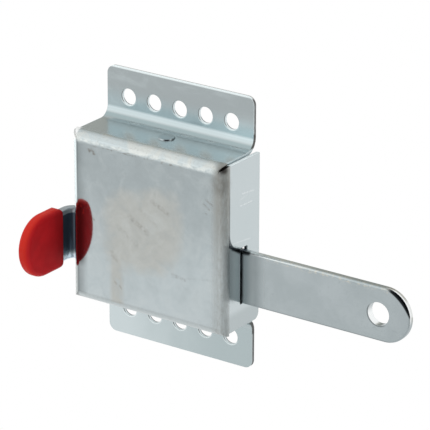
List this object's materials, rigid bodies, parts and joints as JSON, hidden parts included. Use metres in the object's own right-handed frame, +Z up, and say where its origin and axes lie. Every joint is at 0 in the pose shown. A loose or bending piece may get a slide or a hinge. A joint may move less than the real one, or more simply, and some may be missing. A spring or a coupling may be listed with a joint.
{
  "type": "sliding deadlock",
  "caption": "Sliding deadlock for a sectional door: folded zinc-plated case with screw flanges, flat bolt with a padlock hole, thumb tab with a soft red cover.",
  "frame": {"origin": "on the mounting plane, in the middle of the four corner screw holes", "axes": "+X the way the bolt is thrown, +Y into the door, +Z up"},
  "size_m": [0.1683, 0.0438, 0.1168],
  "materials": {
    "case": "bright zinc-plated sheet, faintly brushed, lightly scratched",
    "bolt": "zinc-plated strip, satin",
    "tab_cover": "soft dipped vinyl, semi-gloss",
    "stop_pin": "zinc-plated, plain",
    "detent_spring": "oiled spring steel",
    "spring_rivet": "zinc-plated, plain"
  },
  "bodies": {
    "housing": {"case": "case", "detent_spring": "detent_spring", "spring_rivet": "spring_rivet"},
    "slide": {"bolt": "bolt", "tab_cover": "tab_cover", "stop_pin": "stop_pin"}
  },
  "joints": [
    {"name": "bolt_slide", "type": "slide", "parent": "housing", "child": "slide", "axis": [1, 0, 0], "range_m": [-0.064, 0], "deforming": ["detent_spring"]}
  ]
}
